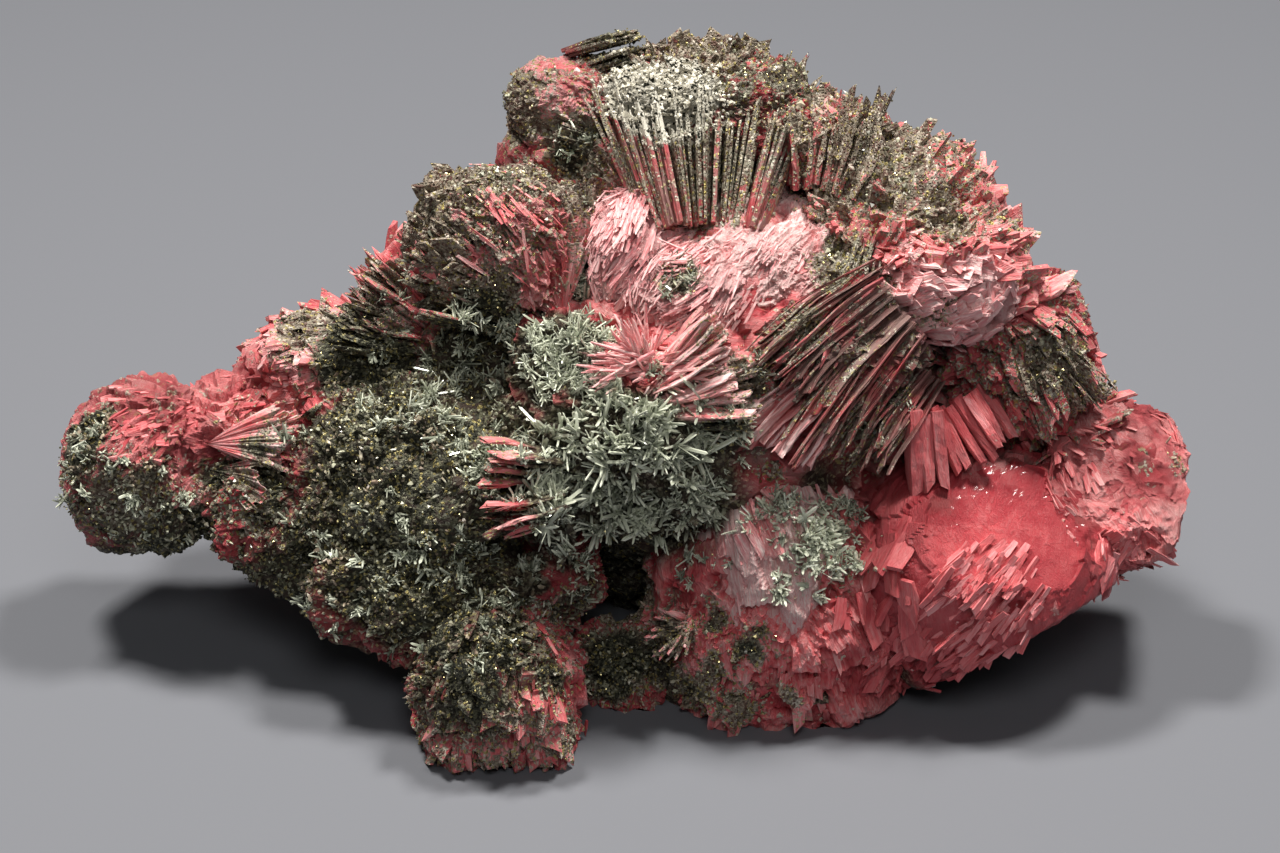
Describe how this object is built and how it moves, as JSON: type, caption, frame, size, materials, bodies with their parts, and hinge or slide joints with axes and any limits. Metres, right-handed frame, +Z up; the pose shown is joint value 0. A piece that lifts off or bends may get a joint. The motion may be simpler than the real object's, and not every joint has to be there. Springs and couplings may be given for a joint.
{
  "type": "rhodonite specimen",
  "caption": "Free-standing mineral specimen: one intergrown mass of pink bladed rhodonite with patches of grey-green quartz needles and brassy pyrite crust.",
  "frame": {"origin": "middle of the footprint, on the surface the specimen stands on", "axes": "+X from the end of the long arm to the round glossy end, +Y from the front to the back, +Z up"},
  "size_m": [0.2454, 0.1108, 0.1288],
  "materials": {
    "rhodonite": "pink to coral red bladed crystal, glassy to silky, with paler streaks and brown-grey blade faces",
    "quartz": "grey-green translucent needles, glassy",
    "pyrite": "fine brassy metallic grains over grey-green drusy quartz",
    "cream": "matt pale crust of fine grains with dark specks"
  },
  "bodies": {
    "root": {"pale_crust_top_fan": "cream", "pyrite_crust_arm": "pyrite", "pyrite_crust_ball": "pyrite", "pyrite_crust_cavity": "pyrite", "pyrite_crust_crest": "pyrite", "pyrite_crust_flank": "pyrite", "pyrite_crust_fold": "pyrite", "pyrite_crust_front_foot": "pyrite", "pyrite_crust_knob": "pyrite", "pyrite_crust_ledge": "pyrite", "pyrite_crust_middle_foot": "pyrite", "pyrite_crust_nose": "pyrite", "pyrite_crust_notch": "pyrite", "pyrite_crust_pocket": "pyrite", "pyrite_crust_right_flank": "pyrite", "pyrite_crust_shoulder": "pyrite", "pyrite_crust_top": "pyrite", "quartz_druse_flank": "quartz", "quartz_druse_foot": "quartz", "quartz_druse_knob": "quartz", "quartz_druse_ledge": "quartz", "quartz_druse_nose": "quartz", "quartz_druse_shoulder": "quartz", "quartz_druse_upper": "quartz", "rhodonite_mass": "rhodonite"}
  },
  "joints": []
}
